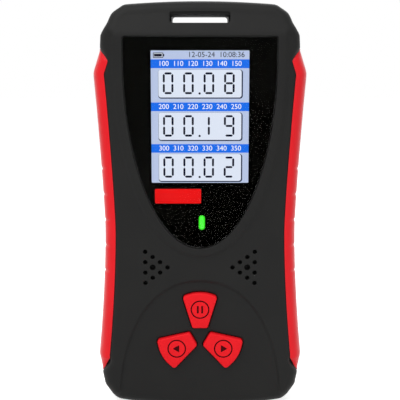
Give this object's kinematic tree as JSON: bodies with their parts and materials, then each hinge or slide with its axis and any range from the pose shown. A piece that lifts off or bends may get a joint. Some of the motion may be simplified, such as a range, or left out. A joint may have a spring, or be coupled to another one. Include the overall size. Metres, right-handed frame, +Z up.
{
  "type": "hand-held radiation counter",
  "caption": "Hand-held geiger counter with a colour display behind a dark window, side grips, a lanyard slot, press keys and a sliding battery door.",
  "frame": {"origin": "middle of the bounding box's bottom face, under the lowest point of the curved bottom edge", "axes": "+Z up towards the lanyard slot, -Y out of the display, +X to the right as the display is read"},
  "size_m": [0.081, 0.032, 0.1578],
  "materials": {
    "case_plastic": "fine spark-eroded texture, satin",
    "grip_rubber": "soft-touch matte",
    "window_acrylic": "polished, black printed behind",
    "foam_black": "closed-cell foam",
    "screen_glass": "lit display",
    "white_plastic": "moulded",
    "flex_film": "polyimide film",
    "green_pipe": "clear moulded, lit green",
    "board_green": "solder mask",
    "chip_black": "moulded epoxy",
    "tube_steel": "drawn stainless",
    "cap_black": "moulded",
    "spring_steel": "nickel plated",
    "lead_red": "insulated wire",
    "ferrite": "taped ferrite core",
    "capacitor_blue": "sleeved can",
    "tinned_steel": "tinned sheet",
    "key_red": "satin moulded",
    "mesh_cloth": "woven mesh",
    "cell_wrap": "plain shrink sleeve",
    "screw_steel": "zinc plated"
  },
  "bodies": {
    "housing": {"front_case": "case_plastic", "rear_case": "case_plastic", "grip_left": "grip_rubber", "grip_right": "grip_rubber", "display_lens": "window_acrylic", "lens_tape": "foam_black", "lcd_gasket": "foam_black", "lcd_panel": "screen_glass", "lcd_backlight": "white_plastic", "lcd_flex": "flex_film", "light_pipe": "green_pipe", "status_led": "green_pipe", "main_board": "board_green", "processor": "chip_black", "driver_chip": "chip_black", "counter_tube": "tube_steel", "tube_cap_anode": "cap_black", "tube_cap_cathode": "cap_black", "tube_clip_left": "spring_steel", "tube_clip_right": "spring_steel", "tube_lead": "lead_red", "hv_transformer": "ferrite", "hv_capacitor": "capacitor_blue", "hv_shield": "tinned_steel", "switch_hold": "chip_black", "switch_left": "chip_black", "switch_right": "chip_black", "buzzer": "cap_black", "dust_mesh_left": "mesh_cloth", "dust_mesh_right": "mesh_cloth", "battery_cell_1": "cell_wrap", "battery_cell_2": "cell_wrap", "battery_cell_3": "cell_wrap", "battery_spring_1": "spring_steel", "battery_spring_2": "spring_steel", "battery_spring_3": "spring_steel", "battery_contact_1": "tinned_steel", "battery_contact_2": "tinned_steel", "battery_contact_3": "tinned_steel", "case_screws": "screw_steel", "board_screws": "screw_steel"},
    "hold_key": {"key_hold": "key_red", "plunger_hold": "white_plastic"},
    "left_key": {"key_left": "key_red", "plunger_left": "white_plastic"},
    "right_key": {"key_right": "key_red", "plunger_right": "white_plastic"},
    "door": {"battery_door": "case_plastic"}
  },
  "joints": [
    {"name": "press_hold", "type": "slide", "parent": "housing", "child": "hold_key", "axis": [0, 1, 0], "range_m": [0, 0.0006], "stiffness_N_per_m": 2500},
    {"name": "press_left", "type": "slide", "parent": "housing", "child": "left_key", "axis": [0, 1, 0], "range_m": [0, 0.0006], "stiffness_N_per_m": 2500},
    {"name": "press_right", "type": "slide", "parent": "housing", "child": "right_key", "axis": [0, 1, 0], "range_m": [0, 0.0006], "stiffness_N_per_m": 2500},
    {"name": "door_slide", "type": "slide", "parent": "housing", "child": "door", "axis": [0, 0, -1], "range_m": [0, 0.062]}
  ]
}
